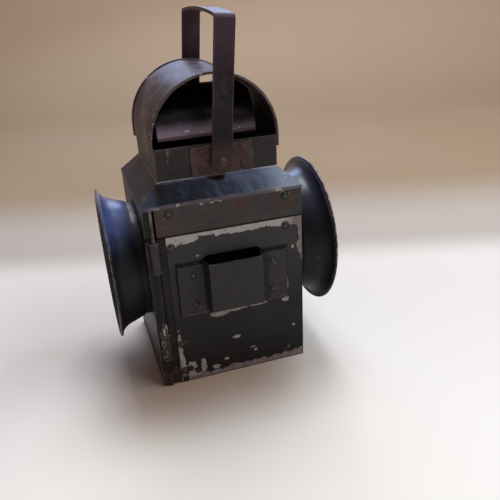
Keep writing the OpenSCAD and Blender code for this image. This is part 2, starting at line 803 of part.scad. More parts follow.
// The cowl stands on one foot on each side, which turns up against the wall of the neck.
module inner_cowl() {
    wall_y = neck_d / 2 - sheet;
    foot_x = pivot_x + pivot_head_r + cowl_foot_gap;
    foot_z = neck_top - cowl_foot_drop;
    color("dimgray") {
        translate([0, 0, dome_z]) intersection() {
            translate([cowl_x, 0, cowl_lift]) rotate([0, 0, 90]) arch_shell(cowl_r, cowl_skirt, sheet, cowl_len);
            rotate([90, 0, 0]) translate([0, 0, -neck_d / 2]) linear_extrude(neck_d)
                arch_outline(dome_r - sheet - cowl_gap, cowl_skirt + cut);
        }
        for (s = [-1, 1]) scale([1, s, 1]) translate([foot_x, 0, foot_z]) {
            block([0, cowl_r - sheet, 0], [cowl_foot_w, cowl_r, dome_z + cowl_lift - cowl_skirt - foot_z]);
            block([0, cowl_r - sheet, 0], [cowl_foot_w, wall_y, sheet]);
            block([0, wall_y - sheet, 0], [cowl_foot_w, wall_y, cowl_tab_h]);
        }
    }
}

// ----------------------------------------------------------------- handle

module handle_plates() {
    color("brown") for (s = [0, 1]) mirror([0, s, 0])
        upright(-mount_face, mount_t) difference() {
            translate([mount_x - mount_w / 2, mount_z]) square([mount_w, mount_h]);
            rivet_holes(MOUNT_RIVETS);
            translate([pivot_x, pivot_z]) circle(r = pivot_r + running_gap);
        }
}

module handle_plate_rivets() {
    color("brown") for (s = [0, 1]) mirror([0, s, 0])
        front_rivets_at(MOUNT_RIVETS, -mount_face, mount_t + sheet);
}

module handle_spacers() {
    color("gray") for (s = [0, 1]) mirror([0, s, 0])
        translate([pivot_x, -mount_face, pivot_z]) rotate([90, 0, 0])
            ring(spacer_r, pivot_r + running_gap, 0, spacer_t);
}

module handle_pivots() {
    inner = neck_d / 2 - sheet;
    outer = leg_outer + face_gap;
    color("gray") for (s = [0, 1]) mirror([0, s, 0])
        translate([pivot_x, -inner, pivot_z]) rotate([90, 0, 0]) {
            cylinder(r = pivot_r, h = outer - inner);
            translate([0, 0, -sheet]) cylinder(r = pivot_head_r, h = sheet);
            translate([0, 0, outer - inner])
                cylinder(r1 = pivot_head_r, r2 = pivot_head_r - pivot_head_bevel, h = pivot_head_h);
        }
}

// The handle hangs on both pivots; it is drawn upright round them, then leaned.
module handle() {
    color("purple") translate([pivot_x, 0, pivot_z]) rotate([0, lean, 0]) difference() {
        union() {
            rotate([90, 0, 90]) translate([0, 0, -strap_w / 2]) linear_extrude(strap_w) difference() {
                strap_outline(leg_outer, handle_len, bend_r, crown_r);
                translate([0, -cut])
                    strap_outline(leg_inner, handle_len - strap_t + cut, bend_r - strap_t, crown_r - strap_t);
            }
            for (s = [0, 1]) mirror([0, s, 0])
                translate([0, -leg_inner, 0]) rotate([90, 0, 0]) cylinder(r = strap_w / 2, h = strap_t);
        }
        rotate([90, 0, 0]) cylinder(r = pivot_r + running_gap, h = 2 * leg_outer + 2 * cut, center = true);
    }
}

// An outline that is half wide each way. Its top is an arc of radius arc_r, which runs into two shoulders.
module strap_outline(half, top, r, arc_r) {
    shoulder_x = half - r;
    arc_z = top - arc_r;
    rise = sqrt(pow(arc_r - r, 2) - pow(shoulder_x, 2));
    beyond = 2 * arc_r / (arc_r - r);
    translate([-half, 0]) square([2 * half, arc_z + rise]);
    for (s = [-1, 1]) translate([s * shoulder_x, arc_z + rise]) circle(r = r);
    intersection() {
        translate([0, arc_z]) circle(r = arc_r, $fn = 240);
        translate([0, arc_z]) polygon([[0, 0], beyond * [shoulder_x, rise], beyond * [-shoulder_x, rise]]);
        translate([-half, 0]) square([2 * half, top]);
    }
}

// -------------------------------------------------------- font and burner

module at_filler() {
    rotate([0, 0, filler_angle]) translate([filler_out, 0, font_shoulder]) children();
}

module oil_font() {
    in_r = font_r - font_t;
    color("firebrick") difference() {
        union() {
            rotate_extrude() polygon([
                [0, font_z], [font_r, font_z], [font_r, font_shoulder], [drum_r, font_top], [0, font_top]
            ]);
            for (z = [font_z + font_roll_r, font_shoulder]) translate([0, 0, z])
                rotate_extrude() translate([font_r - font_roll_r / 2, 0]) circle(r = font_roll_r, $fn = 24);
            at_filler() cylinder(r = filler_r, h = filler_h);
        }
        rotate_extrude() polygon([
            [0, font_z + font_t], [in_r, font_z + font_t], [in_r, font_shoulder - font_t],
            [drum_r, font_top - font_t], [0, font_top - font_t]
        ]);
        translate([0, 0, font_shoulder]) cylinder(r = drum_r - burner_seat, h = font_rise + cut);
        at_filler() translate([0, 0, -font_rise]) cylinder(r = filler_r - font_t, h = filler_h + font_rise + cut);
    }
}

// A round grip with ridges round its rim.
module ridged(r, h, ridges) {
    cylinder(r = r, h = h);
    for (i = [0 : ridges - 1]) rotate([0, 0, i * 360 / ridges])
        translate([r, 0, 0]) cylinder(r = ridge_r, h = h);
}

module filler_cap() {
    color("goldenrod") at_filler() difference() {
        translate([0, 0, filler_h + cap_gap + font_t - cap_h]) ridged(cap_r, cap_h, 12);
        translate([0, 0, -cut]) cylinder(r = filler_r + cap_gap, h = filler_h + cap_gap + cut);
    }
}

module burner() {
    slot = [wick_t + 2 * wick_gap, wick_w + 2 * wick_gap];
    cone_top_r = slot[1] / 2 + cone_rim;
    tube = slot + 2 * [tube_t, tube_t];
    color("goldenrod") difference() {
        union() {
            rotate_extrude() polygon([
                [0, font_top], [drum_r, font_top], [drum_r, drum_top], [drum_r - tube_t, drum_top],
                [cone_top_r, drum_top + cone_h], [0, drum_top + cone_h]
            ]);
            translate([0, 0, drum_top]) linear_extrude(tube_top - drum_top) square(tube, center = true);
        }
        translate([0, 0, font_top - cut]) linear_extrude(tube_top - font_top + 2 * cut) square(slot, center = true);
        translate([spindle_x, 0, spindle_z]) rotate([90, 0, 0]) {
            cylinder(r = spindle_r + running_gap, h = 2 * drum_r + 2 * cut, center = true);
            cylinder(r = wheel_r + wick_gap, h = wick_w + 2 * wick_gap, center = true);
        }
    }
}

module wick() {
    color("ivory") block([-wick_t / 2, -wick_w / 2, font_z + font_t + wick_clear],
                         [wick_t / 2, wick_w / 2, wick_top]);
}

module winder_spindle() {
    color("gray") translate([spindle_x, 0, spindle_z]) rotate([90, 0, 0]) {
        translate([0, 0, tube_t - drum_r]) cylinder(r = spindle_r, h = drum_r + knob_out - 2 * tube_t);
        for (s = [-1, 1]) translate([0, 0, s * wick_w / 4]) cylinder(r = wheel_r, h = wheel_t, center = true);
    }
}

module winder_knob() {
    color("goldenrod") translate([spindle_x, -knob_out, spindle_z]) rotate([-90, 0, 0]) difference() {
        union() {
            ridged(knob_r - ridge_r, knob_t, 16);
            translate([0, 0, knob_t]) cylinder(r = knob_r / 2, h = hub_h);
        }
        translate([0, 0, tube_t]) cylinder(r = spindle_r + running_gap, h = knob_t + hub_h + cut);
    }
}

// Two rails and an end stop that guide the font in from the door.
module font_guides() {
    reach = font_r + font_roll_r + rail_gap;
    x0 = -rail_len / 2 - rail_lead;
    stop_half = font_r / 2;
    color("dimgray") {
        for (s = [0, 1]) mirror([0, s, 0]) {
            block([x0, reach, font_z], [x0 + rail_len, reach + sheet, font_z + rail_h]);
            block([x0, reach, font_z], [x0 + rail_len, reach + rail_foot_w, font_z + sheet]);
        }
        block([reach, -stop_half, font_z], [reach + sheet, stop_half, font_z + rail_h]);
        block([reach, -stop_half, font_z], [reach + rail_foot_w, stop_half, font_z + sheet]);
    }
}

floor_tray();
front_wall();
back_wall();
right_wall();
front_plate();
top_band();
lamp_iron_socket();
socket_pan();
front_rivets();
socket_rivets();
hinge_knuckles();
hinge_rod();
roof();
neck();
vent_dome();
inner_cowl();
handle_plates();
handle_plate_rivets();
handle_spacers();
handle_pivots();
handle();
door_panel();
collar(-1);  // door_collar
hood(-1, door_rim_out);  // door_hood
lens(-1);  // door_lens
lens_bezel(-1);  // door_lens_bezel
lens_retainer(-1);  // door_lens_retainer
collar(1);  // fixed_collar
hood(1, fixed_rim_out);  // fixed_hood
lens(1);  // fixed_lens
lens_bezel(1);  // fixed_lens_bezel
lens_retainer(1);  // fixed_lens_retainer
catch_pivot();
catch_lever();
font_guides();
oil_font();
filler_cap();
burner();
wick();
winder_spindle();
winder_knob();
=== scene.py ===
"""Looks for the railway signal lamp: node materials on the CAD's own pieces, a floor, lamps and the camera.

Lengths are in millimetres in the materials and in metres elsewhere. x runs to the lamp's right as the photo shows
it, y away from its front, and z up.
"""
import math

import bpy
import numpy as np
from mathutils import Matrix, Vector


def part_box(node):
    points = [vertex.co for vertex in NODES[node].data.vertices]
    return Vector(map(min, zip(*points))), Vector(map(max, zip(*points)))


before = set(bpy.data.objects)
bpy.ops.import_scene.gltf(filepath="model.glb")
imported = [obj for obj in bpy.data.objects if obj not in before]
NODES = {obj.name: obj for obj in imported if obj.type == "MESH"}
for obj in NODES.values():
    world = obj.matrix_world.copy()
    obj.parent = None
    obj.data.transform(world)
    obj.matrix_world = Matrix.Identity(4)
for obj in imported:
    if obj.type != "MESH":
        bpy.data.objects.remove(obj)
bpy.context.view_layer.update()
MM = 1000.0
RIVET_REACH = 8.0       # vertices nearer to each other than this belong to the same rivet


def box(node):
    """A CAD node's lowest and highest corner in millimetres."""
    lo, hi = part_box(node)
    return lo * MM, hi * MM


def centres(node):
    """The middles of a node's rivets seen from the front, as (x, z) in millimetres."""
    mesh = NODES[node].data
    points = np.empty(3 * len(mesh.vertices))
    mesh.vertices.foreach_get("co", points)
    points = points.reshape(-1, 3)[:, ::2] * MM
    found = []
    while len(points):
        near = np.hypot(*(points - points[0]).T) < RIVET_REACH
        middle = (points[near].min(axis=0) + points[near].max(axis=0)) / 2
        found.append(tuple(float(v) for v in middle))
        points = points[~near]
    return found


# ------------------------------------------------------------- shader kit

def srgb(r, g, b):
    """A colour of 0 to 255 as the shaders want it."""
    parts = (c / 255 for c in (r, g, b))
    return tuple(c / 12.92 if c <= 0.04 else ((c + 0.055) / 1.055) ** 2.4 for c in parts) + (1.0,)


class Val:
    """A number that varies over a surface, with ordinary arithmetic."""

    def __init__(self, surface, sock):
        self.surface, self.sock = surface, sock

    def __add__(self, o): return self.surface.math("ADD", self, o)
    def __radd__(self, o): return self.surface.math("ADD", o, self)
    def __sub__(self, o): return self.surface.math("SUBTRACT", self, o)
    def __rsub__(self, o): return self.surface.math("SUBTRACT", o, self)
    def __mul__(self, o): return self.surface.math("MULTIPLY", self, o)
    def __truediv__(self, o): return self.surface.math("DIVIDE", self, o)
    def __neg__(self): return self.surface.math("MULTIPLY", self, -1.0)
    def __abs__(self): return self.surface.math("ABSOLUTE", self)


class Surface:
    """One node material, laid down layer by layer in the object's own millimetres."""

    def __init__(self, name):
        self.mat = bpy.data.materials.new(name)
        self.mat.use_nodes = True
        self.tree = self.mat.node_tree
        self.tree.nodes.clear()
        self.bsdf = self.add("BsdfPrincipled")
        self.link(self.bsdf.outputs[0], self.add("OutputMaterial").inputs[0])
        self.coord = self.add("TexCoord").outputs["Object"]
        split = self.add("SeparateXYZ")
        self.link(self.coord, split.inputs[0])
        self.x, self.y, self.z = (Val(self, split.outputs[i]) * MM for i in range(3))
        self.colour = self.rough = self.metal = self.height = self.coat = None

    def add(self, kind):
        return self.tree.nodes.new("ShaderNode" + kind)

    def link(self, value, sock):
        """Feeds an input from a Val or a socket, or sets it to a plain value."""
        if isinstance(value, Val):
            value = value.sock
        if isinstance(value, bpy.types.NodeSocket):
            self.tree.links.new(value, sock)
        else:
            sock.default_value = value

    def math(self, op, *values):
        n = self.add("Math")
        n.operation = op
        for value, sock in zip(values, n.inputs):
            self.link(value, sock)
        return Val(self, n.outputs[0])

    def least(self, *v):
        return v[0] if len(v) == 1 else self.math("MINIMUM", v[0], self.least(*v[1:]))

    def most(self, *v):
        return v[0] if len(v) == 1 else self.math("MAXIMUM", v[0], self.most(*v[1:]))

    def length(self, a, b):
        return self.math("SQRT", a * a + b * b)

    def step(self, v, lo, hi):
        """0 at lo and 1 at hi, with a smooth rise between. lo may be the greater of the two."""
        n = self.add("MapRange")
        n.interpolation_type = "SMOOTHSTEP"
        for value, name in ((v, "Value"), (lo, "From Min"), (hi, "From Max")):
            self.link(value, n.inputs[name])
        return Val(self, n.outputs[0])

    def noise(self, size, detail, grain, seed, stretch=(1, 1, 1)):
        """Cloudy noise about 0, from -1 to 1 at most, with lumps of that size in millimetres."""
        place = self.add("Mapping")
        self.link(self.coord, place.inputs["Vector"])
        place.inputs["Location"].default_value = (seed * 0.37, seed * 0.73, seed * 0.19)
        place.inputs["Scale"].default_value = [MM / size / s for s in stretch]
        n = self.add("TexNoise")
        self.link(place.outputs[0], n.inputs["Vector"])
        n.inputs["Scale"].default_value = 1.0
        n.inputs["Detail"].default_value = detail
        n.inputs["Roughness"].default_value = grain
        return (Val(self, n.outputs[0]) - 0.5) * 2.0

    def cloud(self, lo, hi, *noise, stretch=(1, 1, 1)):
        """A mask of cloudy patches: 0 where the noise is at lo and 1 where it is at hi."""
        return self.step(self.noise(*noise, stretch), lo, hi)

    def flecks(self, size, share, seed, spread=6.0):
        """1 in small ragged flecks of about that size, gathered in loose groups."""
        grain = self.noise(size, 3, 0.6, seed + 0.5)
        group = self.noise(size * spread, 2, 0.5, seed + 1.5)
        return self.step(grain + group * 0.5, 0.62 - share, 0.70 - share)

    def mix(self, f, a, b):
        """Colour a where f is 0 and b where it is 1."""
        n = self.add("Mix")
        n.data_type = "RGBA"
        for value, name in ((f, "Factor_Float"), (a, "A_Color"), (b, "B_Color")):
            self.link(value, next(sock for sock in n.inputs if sock.identifier == name))
        return next(sock for sock in n.outputs if sock.identifier == "Result_Color")

    def blend(self, f, a, b):
        """Number a where f is 0 and b where it is 1."""
        return f * (b - a) + a

    def base(self, colour, rough, metal=0.0):
        self.colour, self.rough, self.metal = colour, rough, metal

    def layer(self, mask, colour=None, rough=None, metal=None, up=0.0):
        """Covers the surface where mask is 1. up is how far it stands out, in millimetres."""
        if colour is not None:
            self.colour = self.mix(mask, self.colour, colour)
        if rough is not None:
            self.rough = self.blend(mask, self.rough, rough)
        if metal is not None:
            self.metal = self.blend(mask, self.metal, metal)
        if up:
            self.raise_by(mask * up)

    def raise_by(self, value):
        self.height = value if self.height is None else self.height + value

    def rect(self, low, high):
        """How far a point seen from the front is inside a node's box, below 0 when it is outside."""
        return self.least(self.x - low.x, -self.x + high.x, self.z - low.z, -self.z + high.z)

    def near(self, distance, width, ragged, size, seed):
        """1 within about width of an edge at that distance, with a ragged limit."""
        reach = self.noise(size, 5, 0.6, seed) * ragged - distance + width
        return self.step(reach, -0.35, 0.35)

    def patches(self, spots, ragged, size, seed, across=None, up=None):
        """1 inside any of the ellipses (across, up, half width, half height), with ragged limits.

        They lie on the front, in x and z, unless other coordinates are given.
        """
        across, up = across or self.x, up or self.z
        inside = self.least(*(self.length((across - a) / half_a, (up - b) / half_b)
                              for a, b, half_a, half_b in spots))
        crumbs = self.noise(size * 0.35, 4, 0.7, seed + 0.5) * ragged * 0.6
        return self.step(1 - inside + self.noise(size, 5, 0.65, seed) * ragged + crumbs, -0.06, 0.10)

    def done(self, **fixed):
        """Wires the layers up. fixed holds the shader's constant inputs."""
        for name, value in (("Base Color", self.colour), ("Roughness", self.rough), ("Metallic", self.metal)):
            self.link(value, self.bsdf.inputs[name])
        if self.coat is not None:
            self.link(self.coat, self.bsdf.inputs["Coat Weight"])
        for name, value in fixed.items():
            self.bsdf.inputs[name.replace("_", " ")].default_value = value
        bump = self.add("Bump")
        bump.inputs["Distance"].default_value = 1 / MM
        self.link(self.height, bump.inputs["Height"])
        self.link(bump.outputs[0], self.bsdf.inputs["Normal"])
        return self.mat


# ---------------------------------------------------- colours and places

DUST = srgb(84, 78, 74)
PALE = srgb(136, 126, 124)          # the primer under the black paint
PINK_GREY = srgb(118, 102, 102)
CHIP = srgb(168, 160, 154)
STEEL = srgb(110, 104, 100)
RUST = srgb(74, 44, 36)
DARK_RUST = srgb(44, 29, 27)
BROWN_BLACK = srgb(38, 32, 29)
MAUVE = srgb(74, 62, 66)
SOOT = srgb(11, 10, 11)
WARM = srgb(56, 40, 42)             # the two casts that old black paint takes on
COOL = srgb(34, 37, 47)
BRASS = srgb(150, 122, 70)
COTTON = srgb(205, 196, 172)
SKY_TINT = (0.62, 0.72, 1.0, 1.0)   # tints of the gloss
PALE_SKY_TINT = (0.82, 0.87, 1.0, 1.0)
DUSK_TINT = (0.74, 0.68, 1.0, 1.0)

plate, band, socket, wick = box("front_plate"), box("top_band"), box("lamp_iron_socket"), box("wick")
neck, roof, dome, cowl = box("neck"), box("roof"), box("vent_dome"), box("inner_cowl")
handle, pivots, irons, hood = box("handle"), box("handle_pivots"), box("handle_plates"), box("fixed_hood")
LENS_Z, HOOD_R = (hood[0].z + hood[1].z) / 2, (hood[1].z - hood[0].z) / 2
PIVOT_X, PIVOT_Z = (pivots[0].x + pivots[1].x) / 2, (pivots[0].z + pivots[1].z) / 2
FRONT_RIVETS, SOCKET_RIVETS = centres("front_rivets"), centres("socket_rivets")
IRON_RIVETS = centres("handle_plate_rivets")

RIVET_DIRT = 3.8                    # radius of the ring of dirt round a rivet
RIVET_SCRATCH = 4.9                 # and of the scratches outside it
CASE_X, CASE_Y = 76.9, 69.0         # half the case's width, and half its depth at the door
KNUCKLE_ENDS = (32.5, 60, 129.5, 159.5)
SOCKET_FACE = (-30.5, -29, 34.5, 38.5)  # where the raised face's creases start and end, from its middle
DOME_RIM = 56.4                     # just outside the dome's open ends, in y
DOME_INSIDE = 58.6                  # radius under which the dome's sheet shows its inner side
COWL_EDGE = cowl[0].z + 11          # the cowl's lower edge, as its box ends at its feet
HANDLE_HALF = 9.2                   # half the width of the handle's strap
HANDLE_LEAN = math.radians(5.4)     # the handle's lean from upright
HOOD_LIP = 110.6                    # the wired rims, in x to either side


def from_rivets(s, places):
    """Distance in the x-z plane from the nearest of some rivets on the front, in millimetres."""
    return s.least(*(s.length(s.x - x, s.z - z) for x, z in places))


def around_rivets(s, places, seed):
    """A dark ring of dirt round each rivet, with bare scratches at its edge."""
    r = from_rivets(s, places)
    s.layer(s.near(abs(r - RIVET_DIRT), 0.8, 0.8, 4, seed) * 0.8, srgb(20, 17, 17), 0.5)
    arc = s.near(abs(r - RIVET_SCRATCH), 0.5, 0.7, 3, seed + 1) * s.cloud(0.12, 0.3, 5, 3, 0.6, seed + 2)
    s.layer(arc * 0.8, PALE, 0.55)


def sheet_paint(name, a, b, rough, seed, dents, grime, dust, tint=0.7):
    """Old brushed paint on beaten sheet metal: the ground for every painted piece."""
    s = Surface(name)
    s.base(a, rough)
    s.layer(s.cloud(-0.35, 0.35, 42, 4, 0.6, seed), b)
    s.layer(s.cloud(0.0, 0.5, 26, 4, 0.6, seed + 1) * tint, WARM, rough)
    s.layer(s.cloud(0.1, 0.5, 22, 4, 0.6, seed + 2) * tint, COOL, rough)
    fine = s.noise(5, 6, 0.7, seed + 3)
    s.layer(s.step(fine, 0.05, 0.5) * dust, DUST, rough + 0.15)
    s.layer(s.step(fine, -0.1, -0.5) * 0.6, SOOT, rough - 0.05)
    streaks = s.cloud(0.15, 0.6, 6, 4, 0.6, seed + 5, stretch=(1, 1, 9))
    s.layer(streaks * grime, BROWN_BLACK, rough + 0.1)
    scuffs = s.cloud(0.22, 0.5, 3, 5, 0.7, seed + 11, stretch=(2.5, 2.5, 1))
    s.layer(scuffs * dust * 1.4, srgb(96, 88, 86), rough + 0.1)
    s.raise_by(s.noise(34, 2, 0.5, seed + 7) * dents)
    s.raise_by(s.noise(9, 3, 0.6, seed + 8) * 0.08)
    s.raise_by(s.noise(2.2, 3, 0.6, seed + 9) * 0.02)
    return s


def chips(s, mask, colour=PALE, rough=0.6):
    """Paint lost down to pale primer and metal, with a rusty rim round each chip."""
    s.layer(s.step(mask, 0.02, 0.4) * 0.8, DARK_RUST, 0.7)
    s.layer(s.step(mask, 0.4, 0.7), colour, rough, up=-0.1)


# -------------------------------------------------------------- materials

def plate_material():
    s = sheet_paint("plate", srgb(42, 40, 41), srgb(35, 33, 35), 0.42, 1, dents=0.3, grime=0.15, dust=0.15)
    # painted shade: the plate lighter towards its top, darker towards its foot and darkest at the lower right
    low = s.step(s.z, 122, 66)
    s.layer(s.step(s.z, 120, 146) * 0.7, srgb(56, 53, 53), 0.5)
    s.layer(low * 0.85, srgb(22, 20, 22), 0.36)
    s.layer(s.step(s.x, 28, 66) * low * 0.8, srgb(9, 8, 9), 0.4)
    s.layer(s.cloud(0.05, 0.6, 24, 3, 0.5, 11) * low * 0.4, srgb(38, 30, 30), 0.45)
    # paint lost along the edges, down to mottled primer
    below_top, from_right = plate[1].z - s.z, plate[1].x - s.x
    top = s.near(below_top, 4.4, 4.4, 12, 2)
    corner = s.patches([(-53, 158, 9, 8), (-40, 159, 14, 5), (14, 161.5, 34, 5), (62, 160, 24, 5)], 0.6, 6, 4)
    right = s.near(from_right + s.step(s.z, 132, 96) * 9, 5, 5.4, 12, 6)
    foot = s.near(s.z, 7.0 + s.step(s.x, 30, 70) * 1.8, 8.4, 7, 8) * s.step(s.x, -56, -46)
    left = s.near(s.x - plate[0].x, 1.4, 2.6, 10, 10) * s.step(s.z, 62, 48)
    tone = s.mix(s.cloud(-0.3, 0.3, 7, 4, 0.6, 12), PALE, PINK_GREY)
    tone = s.mix(s.cloud(0.1, 0.5, 4, 4, 0.6, 13), tone, srgb(142, 132, 128))
    tone = s.mix(s.step(s.z, 136, 154) * s.step(s.x, 70, 56) * 0.85, tone, srgb(176, 168, 166))
    tone = s.mix(s.cloud(0.08, 0.4, 3, 5, 0.65, 15) * 0.6, tone, srgb(92, 84, 84))
    chips(s, s.most(top, corner, right, foot, left), tone, 0.5)
    # single chips, and the large one under the bracket
    white = s.patches([
        (3, 41, 4.4, 1.9), (22.7, 19.6, 2.2, 1.7), (20, 24, 3, 0.8), (-9.5, 16.9, 2.6, 1.8), (-21, 10, 4.6, 2.8),
        (-34, 15, 3.2, 8), (-46, 18, 5, 5), (-44, 8, 8, 4), (-56, 40, 2, 20), (-55, 20, 2.6, 14),
        (67, 131, 1.4, 2.2), (60.5, 92, 0.9, 7), (57.5, 73, 4, 2.6), (66, 40, 1.6, 1.4), (-30, 140, 1.8, 1.1),
    ], 0.8, 3.2, 14)
    bracket = s.patches([(-13, 72.4, 10, 3.6), (4, 73.8, 13, 2.2), (26, 74.4, 12, 1.5)], 0.8, 3.5, 16)
    chips(s, s.most(white, bracket), s.mix(s.cloud(-0.3, 0.3, 3, 4, 0.6, 17), PALE, CHIP))
    s.layer(s.patches([(-49, 15, 4.4, 3.4), (-40, 10, 3.6, 2.6)], 0.6, 4, 18), srgb(52, 36, 36), 0.5)
    # painted shade round the bracket and under the band, and dirt round the rivets
    bracket_shade = s.near(abs(s.rect(*socket)), 1.5, 0.7, 6, 21)
    s.layer(bracket_shade * s.step(s.z, 76, 88) * 0.85, srgb(9, 8, 8), 0.7)
    s.layer(s.near(below_top, 0.7, 0.4, 7, 22) * 0.9, srgb(12, 9, 9), 0.8)
    around_rivets(s, FRONT_RIVETS, 19)
    s.layer(s.flecks(2.4, 0, 3) * 0.8, PALE, 0.6, up=-0.04)
    s.layer(s.near(s.rect(*plate), 0.4, 0.4, 6, 20) * 0.7, DARK_RUST, 0.7)
    s.layer(s.near(s.z, 1.3, 1, 9, 24) * 0.7, srgb(78, 52, 46), 0.7)
    return s.done(Specular_IOR_Level=0.25)


def band_material():
    s = sheet_paint("band", srgb(56, 50, 47), srgb(38, 40, 38), 0.5, 21, dents=0.3, grime=0.3, dust=0.35, tint=0.6)
    s.layer(s.cloud(0.1, 0.5, 30, 3, 0.6, 23, stretch=(3, 1, 0.6)) * 0.5, srgb(62, 55, 51), 0.55)
    s.layer(s.step(s.x, -38, -62) * 0.6, srgb(66, 54, 48), 0.55)
    # rust stains, then the grain of the brush along the band
    s.layer(s.patches([(15, 185, 10, 7), (60, 182, 14, 10), (-60, 176, 8, 14)], 1.1, 9, 25) * 0.55, RUST, 0.65)
    s.layer(s.patches([(14, 186, 3.4, 2.4), (48, 188, 2.4, 1.6)], 0.9, 4, 28) * 0.7, srgb(60, 34, 32), 0.65)
    s.layer(s.cloud(0.1, 0.5, 9, 4, 0.6, 24, stretch=(4, 1, 0.5)) * 0.5, DUST, 0.5)
    s.layer(s.cloud(0.1, 0.5, 8, 4, 0.6, 26, stretch=(5, 1, 0.4)) * 0.6, srgb(34, 27, 25), 0.55)
    chips(s, s.patches([(-22, 190.8, 1.8, 0.7), (-12, 190.9, 2.2, 0.7), (-4, 191, 1.5, 0.5)], 0.5, 2, 27), CHIP)
    # painted shade along the band's lower edge, over its gap to the plate
    s.layer(s.near(s.z - band[0].z, 0.7, 0.5, 9, 29) * 0.9, srgb(14, 10, 10), 0.8)
    around_rivets(s, FRONT_RIVETS, 30)
    return s.done(Specular_IOR_Level=0.35)


def case_material():
    s = sheet_paint("case", srgb(20, 18, 19), srgb(28, 25, 24), 0.42, 31, dents=0.4, grime=0.4, dust=0.2)
    s.layer(s.near(s.z, 16, 22, 20, 33) * 0.85, srgb(70, 50, 48), 0.6)
    s.layer(s.near(s.z, 1, 2.2, 7, 35) * 0.6, RUST, 0.7)
    # bare metal on the four upright corners
    side, end = CASE_X - abs(s.x), CASE_Y - abs(s.y)
    upright = s.most(s.near(side, 0.4, 1.2, 9, 36) * s.near(end, 2.5, 0.5, 9, 37),
                     s.near(end, 0.4, 1.2, 9, 38) * s.near(side, 2.5, 0.5, 9, 39))
    chips(s, upright * 0.7, STEEL, 0.5)
    # streaky chips beside the lower hinge
    beside_hinge = s.patches([(-69.5, 66, 3.4, 9), (-73.5, 60, 1.8, 7), (-73, 44, 2, 4)], 0.4, 5, 42)
    streaks = s.cloud(-0.1, 0.15, 1.8, 4, 0.65, 41, stretch=(1, 1, 4))
    chips(s, beside_hinge * s.step(s.y, -58, -64) * streaks, CHIP)
    s.layer(s.flecks(2.6, 0, 43) * 0.7, PALE, 0.6, up=-0.03)
    # painted shade in the gap between the plate and the band
    gap_shade = s.near(abs(s.z - (plate[1].z + band[0].z) / 2), 1.8, 0.2, 4, 44)
    s.layer(gap_shade * s.step(s.y, -60, -64), srgb(5, 4, 4), 0.9)
    return s.done(Specular_IOR_Level=0.2)


def socket_material():
    s = sheet_paint("socket", srgb(42, 39, 40), srgb(36, 34, 35), 0.5, 51, dents=0.2, grime=0.2, dust=0.25)
    s.layer(s.cloud(-0.1, 0.5, 30, 3, 0.5, 53) * 0.5, srgb(50, 43, 43), 0.55)
    up = s.z - socket[0].z
    s.layer(s.near(up, 5, 4, 12, 55) * 0.6, srgb(52, 40, 38), 0.65)
    s.layer(s.near(up, 0.8, 1.6, 5, 56) * 0.5, PINK_GREY, 0.6)
    rim = s.near(s.rect(*socket), 0.4, 0.9, 6, 57)
    s.layer(rim * s.cloud(0, 0.35, 9, 3, 0.6, 58) * 0.6, PINK_GREY, 0.5)
    s.layer(s.flecks(2.8, 0, 59) * 0.5, PALE, 0.6)
    # painted shade in the creases where the raised face meets its flanges
    across = s.x - (socket[0].x + socket[1].x) / 2 + s.noise(7, 4, 0.6, 62) * 0.9
    outer_left, left, right, outer_right = SOCKET_FACE
    crease_shade = s.step(across, outer_left, left) * s.step(across, outer_right, right)
    on_flange = s.step(s.y, socket[0].y + 0.8, socket[0].y + 2)
    s.layer(crease_shade * on_flange * 0.8, srgb(12, 10, 10), 0.6)
    s.layer(s.cloud(0, 0.6, 26, 3, 0.6, 64) * 0.5, srgb(66, 56, 56), 0.55)
    around_rivets(s, SOCKET_RIVETS, 60)
    return s.done(Specular_IOR_Level=0.3)


def rivet_material():
    s = sheet_paint("rivet", srgb(46, 42, 42), srgb(38, 35, 36), 0.45, 61, dents=0.08, grime=0.2, dust=0.3)
    s.layer(s.cloud(0.15, 0.5, 5, 4, 0.7, 63) * 0.5, DARK_RUST, 0.7)
    s.layer(s.cloud(0.1, 0.35, 2, 4, 0.7, 65) * 0.7, CHIP, 0.45)
    r = from_rivets(s, FRONT_RIVETS + SOCKET_RIVETS)
    s.layer(s.step(r, 1.9, 2.6) * 0.7, srgb(22, 19, 19), 0.5)
    s.layer(s.step(r, 1.6, 0.8) * 0.4, srgb(84, 78, 76), 0.45)
    return s.done(Specular_IOR_Level=0.4)


def hinge_material():
    s = sheet_paint("hinge", srgb(42, 37, 34), srgb(34, 30, 29), 0.48, 71, dents=0.12, grime=0.4, dust=0.3)
    s.layer(s.cloud(-0.05, 0.4, 8, 4, 0.65, 73) * 0.6, DARK_RUST, 0.7)
    worn = s.patches([(-72, 52, 2.4, 5), (-70.6, 40, 2.6, 5), (-67.5, 60, 1.8, 4), (-73.4, 36, 1.4, 2)], 0.4, 4, 75)
    chips(s, worn * s.cloud(-0.05, 0.2, 1.8, 4, 0.65, 76, stretch=(1, 1, 3)), CHIP)
    ends = s.least(*(abs(s.z - end) for end in KNUCKLE_ENDS))
    s.layer(s.near(ends, 0.5, 0.5, 4, 77) * 0.6, STEEL, 0.45)
    return s.done(Specular_IOR_Level=0.4)


def bare_steel():
    s = Surface("bare_steel")
    s.base(STEEL, 0.42, 0.8)
    s.layer(s.cloud(-0.15, 0.3, 9, 5, 0.65, 81) * 0.85, DARK_RUST, 0.75, 0.1)
    s.layer(s.cloud(0.1, 0.5, 3, 4, 0.65, 83) * 0.7, srgb(60, 52, 47), 0.6, 0.3)
    s.raise_by(s.noise(1.5, 4, 0.6, 85) * 0.05)
    return s.done()


